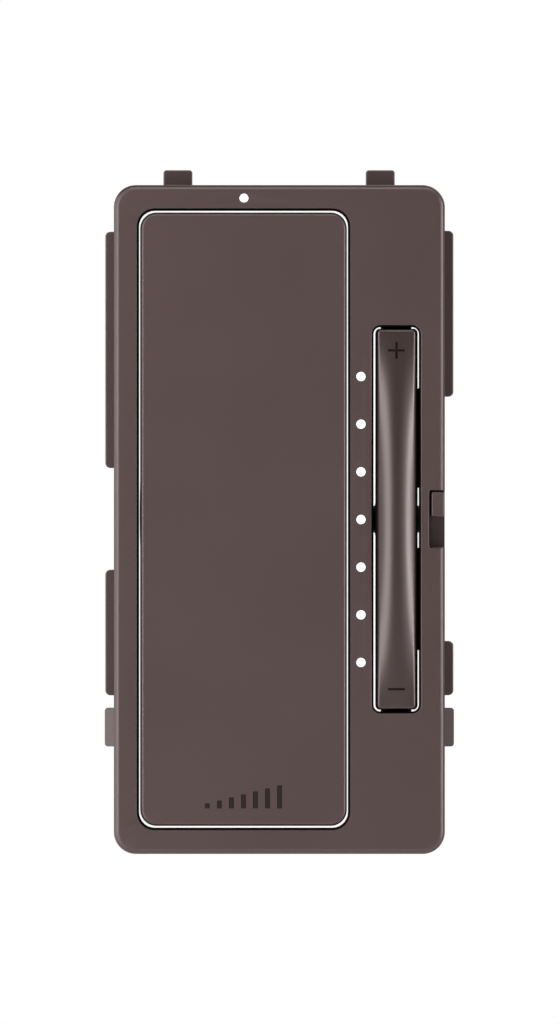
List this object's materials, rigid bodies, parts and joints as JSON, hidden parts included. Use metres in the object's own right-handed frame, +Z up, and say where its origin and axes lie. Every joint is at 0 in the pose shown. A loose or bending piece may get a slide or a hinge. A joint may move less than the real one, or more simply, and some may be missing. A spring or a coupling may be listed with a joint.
{
  "type": "dimmer slide switch",
  "caption": "Wall dimmer module with a rocking on-off paddle, a rocking level bar, indicator lights, a small air-gap slider and a closed rear body.",
  "frame": {"origin": "centre of the face outline, on the seat plane behind the side flanges", "axes": "+X to the right seen from the room, +Y into the wall, +Z up along the face"},
  "size_m": [0.0348, 0.0333, 0.0682],
  "materials": {
    "bronze_plastic": "satin moulded",
    "glossy_bronze": "semi-gloss moulded",
    "white_guide": "translucent white moulded",
    "black_plastic": "matt moulded",
    "housing_plastic": "fine textured moulded",
    "steel": "zinc plated",
    "brass": "plain",
    "aluminium": "milled",
    "board_green": "solder mask",
    "led_white": "clear resin",
    "plunger_ivory": "moulded nylon",
    "capacitor_yellow": "moulded box",
    "ferrite": "coated core",
    "copper": "enamelled wire",
    "electrolytic_sleeve": "shrink sleeve",
    "varistor_blue": "epoxy dip",
    "fuse_ceramic": "ceramic tube",
    "sheet_film": "polyester film",
    "label_paper": "blank label"
  },
  "bodies": {
    "module": {"face_frame": "bronze_plastic", "latch_left": "bronze_plastic", "latch_right": "bronze_plastic", "light_guide": "white_guide", "chassis": "black_plastic", "paddle_rod": "steel", "bar_pin": "steel", "switch_paddle_upper": "black_plastic", "switch_paddle_lower": "black_plastic", "switch_bar_upper": "black_plastic", "switch_bar_lower": "black_plastic", "led_level_1": "led_white", "led_level_2": "led_white", "led_level_3": "led_white", "led_level_4": "led_white", "led_level_5": "led_white", "led_level_6": "led_white", "led_level_7": "led_white", "led_locator": "led_white", "contact_1": "brass", "contact_2": "brass", "ui_board": "board_green", "power_board": "board_green", "insulating_sheet": "sheet_film", "board_header": "black_plastic", "microcontroller": "black_plastic", "film_capacitor": "capacitor_yellow", "choke_core": "ferrite", "choke_winding": "copper", "triac": "black_plastic", "heat_sink": "aluminium", "electrolytic_capacitor": "electrolytic_sleeve", "varistor": "varistor_blue", "fuse": "fuse_ceramic", "rear_housing": "housing_plastic", "rating_label": "label_paper", "housing_screw_1": "steel", "terminal_clamp_1": "brass", "terminal_screw_1": "steel", "housing_screw_2": "steel", "terminal_clamp_2": "brass", "terminal_screw_2": "steel", "housing_screw_3": "steel", "terminal_clamp_3": "brass", "terminal_screw_3": "steel", "housing_screw_4": "steel", "terminal_clamp_4": "brass", "terminal_screw_4": "steel"},
    "paddle": {"paddle": "bronze_plastic"},
    "dimmer_bar": {"dimmer_bar": "glossy_bronze"},
    "air_gap_slider": {"air_gap_slider": "bronze_plastic", "contact_bridge": "brass"},
    "plunger_paddle_upper": {"plunger_paddle_upper": "plunger_ivory"},
    "plunger_paddle_lower": {"plunger_paddle_lower": "plunger_ivory"},
    "plunger_bar_upper": {"plunger_bar_upper": "plunger_ivory"},
    "plunger_bar_lower": {"plunger_bar_lower": "plunger_ivory"}
  },
  "joints": [
    {"name": "paddle_rock", "type": "hinge", "parent": "module", "child": "paddle", "pos_m": [-0.00353, -0.0039, 0], "axis": [1, 0, 0], "range_deg": [-1.2, 1.2], "stiffness_Nm_per_rad": 0.6},
    {"name": "bar_rock", "type": "hinge", "parent": "module", "child": "dimmer_bar", "pos_m": [0.01165, -0.0039, 0.00003], "axis": [1, 0, 0], "range_deg": [-1.5, 1.5], "stiffness_Nm_per_rad": 0.3},
    {"name": "air_gap_slide", "type": "slide", "parent": "module", "child": "air_gap_slider", "axis": [0, 0, 1], "range_m": [-0.003, 0]},
    {"name": "plunger_paddle_upper_slide", "type": "slide", "parent": "module", "child": "plunger_paddle_upper", "axis": [0, 1, 0], "range_m": [-0.00053, 0.00053]},
    {"name": "plunger_paddle_lower_slide", "type": "slide", "parent": "module", "child": "plunger_paddle_lower", "axis": [0, 1, 0], "range_m": [-0.00053, 0.00053]},
    {"name": "plunger_bar_upper_slide", "type": "slide", "parent": "module", "child": "plunger_bar_upper", "axis": [0, 1, 0], "range_m": [-0.00053, 0.00053]},
    {"name": "plunger_bar_lower_slide", "type": "slide", "parent": "module", "child": "plunger_bar_lower", "axis": [0, 1, 0], "range_m": [-0.00053, 0.00053]}
  ],
  "couplings": [
    {"joint": "plunger_paddle_upper_slide", "follows": "paddle_rock", "m_per_rad": -0.024},
    {"joint": "plunger_paddle_lower_slide", "follows": "paddle_rock", "m_per_rad": 0.024},
    {"joint": "plunger_bar_upper_slide", "follows": "bar_rock", "m_per_rad": -0.01497},
    {"joint": "plunger_bar_lower_slide", "follows": "bar_rock", "m_per_rad": 0.01503}
  ]
}
